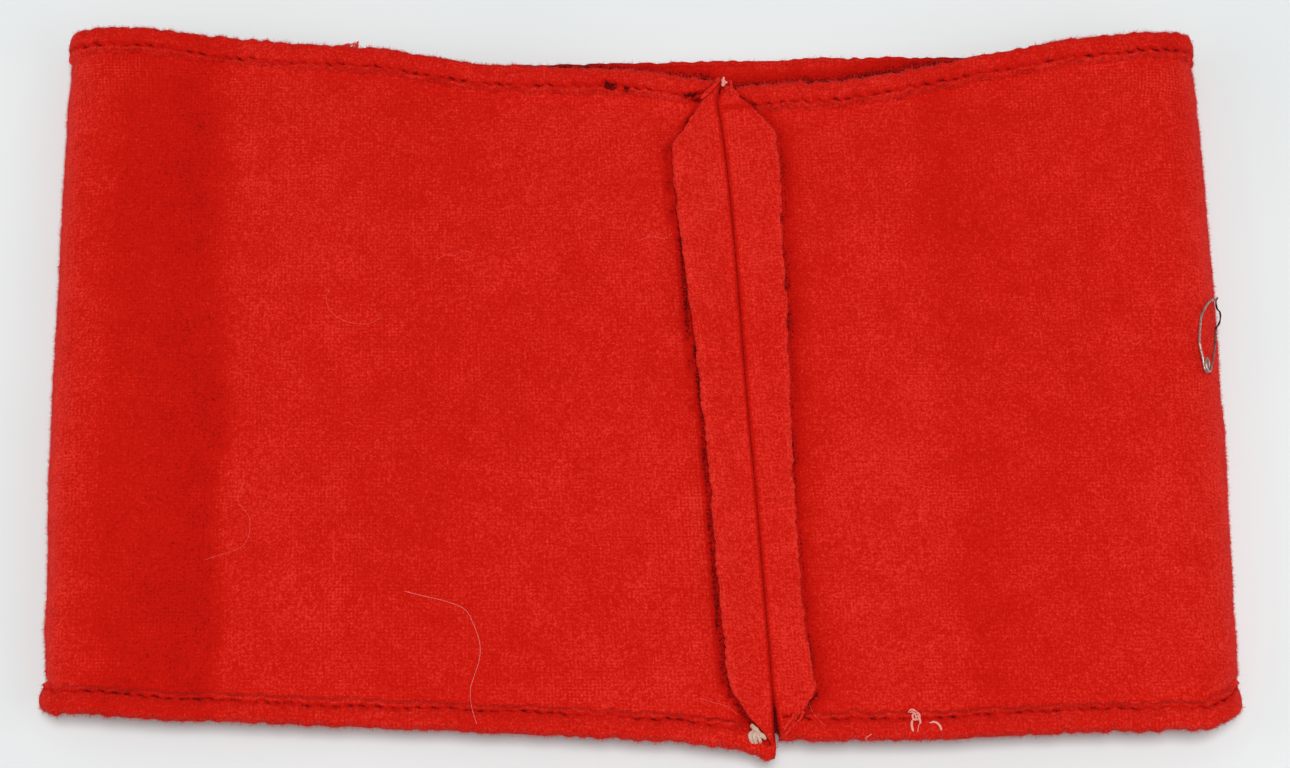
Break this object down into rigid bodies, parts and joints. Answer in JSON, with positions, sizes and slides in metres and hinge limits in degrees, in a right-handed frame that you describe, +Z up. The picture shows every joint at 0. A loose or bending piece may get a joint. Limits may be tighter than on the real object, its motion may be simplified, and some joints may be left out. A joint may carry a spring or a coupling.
{
  "type": "cloth armband",
  "caption": "Wide loop of heavy red wool cloth with turned hems and an open seam on its outer side, lying flattened, with a small safety pin caught at one fold.",
  "frame": {"origin": "the flat underside of the band, near the middle of the flattened loop", "axes": "+X along the flattened loop's long side, +Y along the arm the band is worn on, towards the picture's top, +Z up from the surface it lies on"},
  "size_m": [0.1879, 0.1199, 0.0109],
  "materials": {
    "wool": "matt felted wool with a short nap",
    "pin_steel": "dull steel wire with rust"
  },
  "bodies": {
    "root": {"band": "wool", "top_hem": "wool", "bottom_hem": "wool", "seam_allowance_left": "wool", "seam_allowance_right": "wool", "safety_pin": "pin_steel"}
  },
  "joints": []
}
